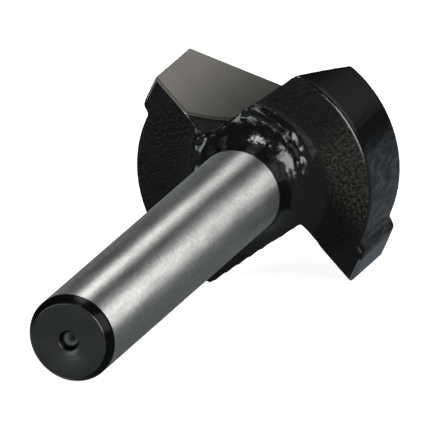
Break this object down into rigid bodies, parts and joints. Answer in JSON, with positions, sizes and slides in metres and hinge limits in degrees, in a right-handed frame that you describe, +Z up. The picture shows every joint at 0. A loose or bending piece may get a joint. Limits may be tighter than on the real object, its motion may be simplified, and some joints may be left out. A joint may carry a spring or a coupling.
{
  "type": "v-groove router bit",
  "caption": "Large V-groove router bit: a straight ground shank, a black-painted head with limiter sectors and open chip gullets, and brazed carbide cutting tips.",
  "frame": {"origin": "the point on the supporting surface under the middle of the bit as it lies", "axes": "+Z up; the bit's own axis runs from the shank's end at -Y to the V point at +Y, raised about 7.4 degrees towards the head"},
  "size_m": [0.0356, 0.1032, 0.0324],
  "materials": {
    "painted_steel": "thick black gloss paint over rough cast steel, with a bare ground shank",
    "carbide": "fine-ground satin"
  },
  "bodies": {
    "root": {"body": "painted_steel", "carbide_tip_1": "carbide", "carbide_tip_2": "carbide"}
  },
  "joints": []
}
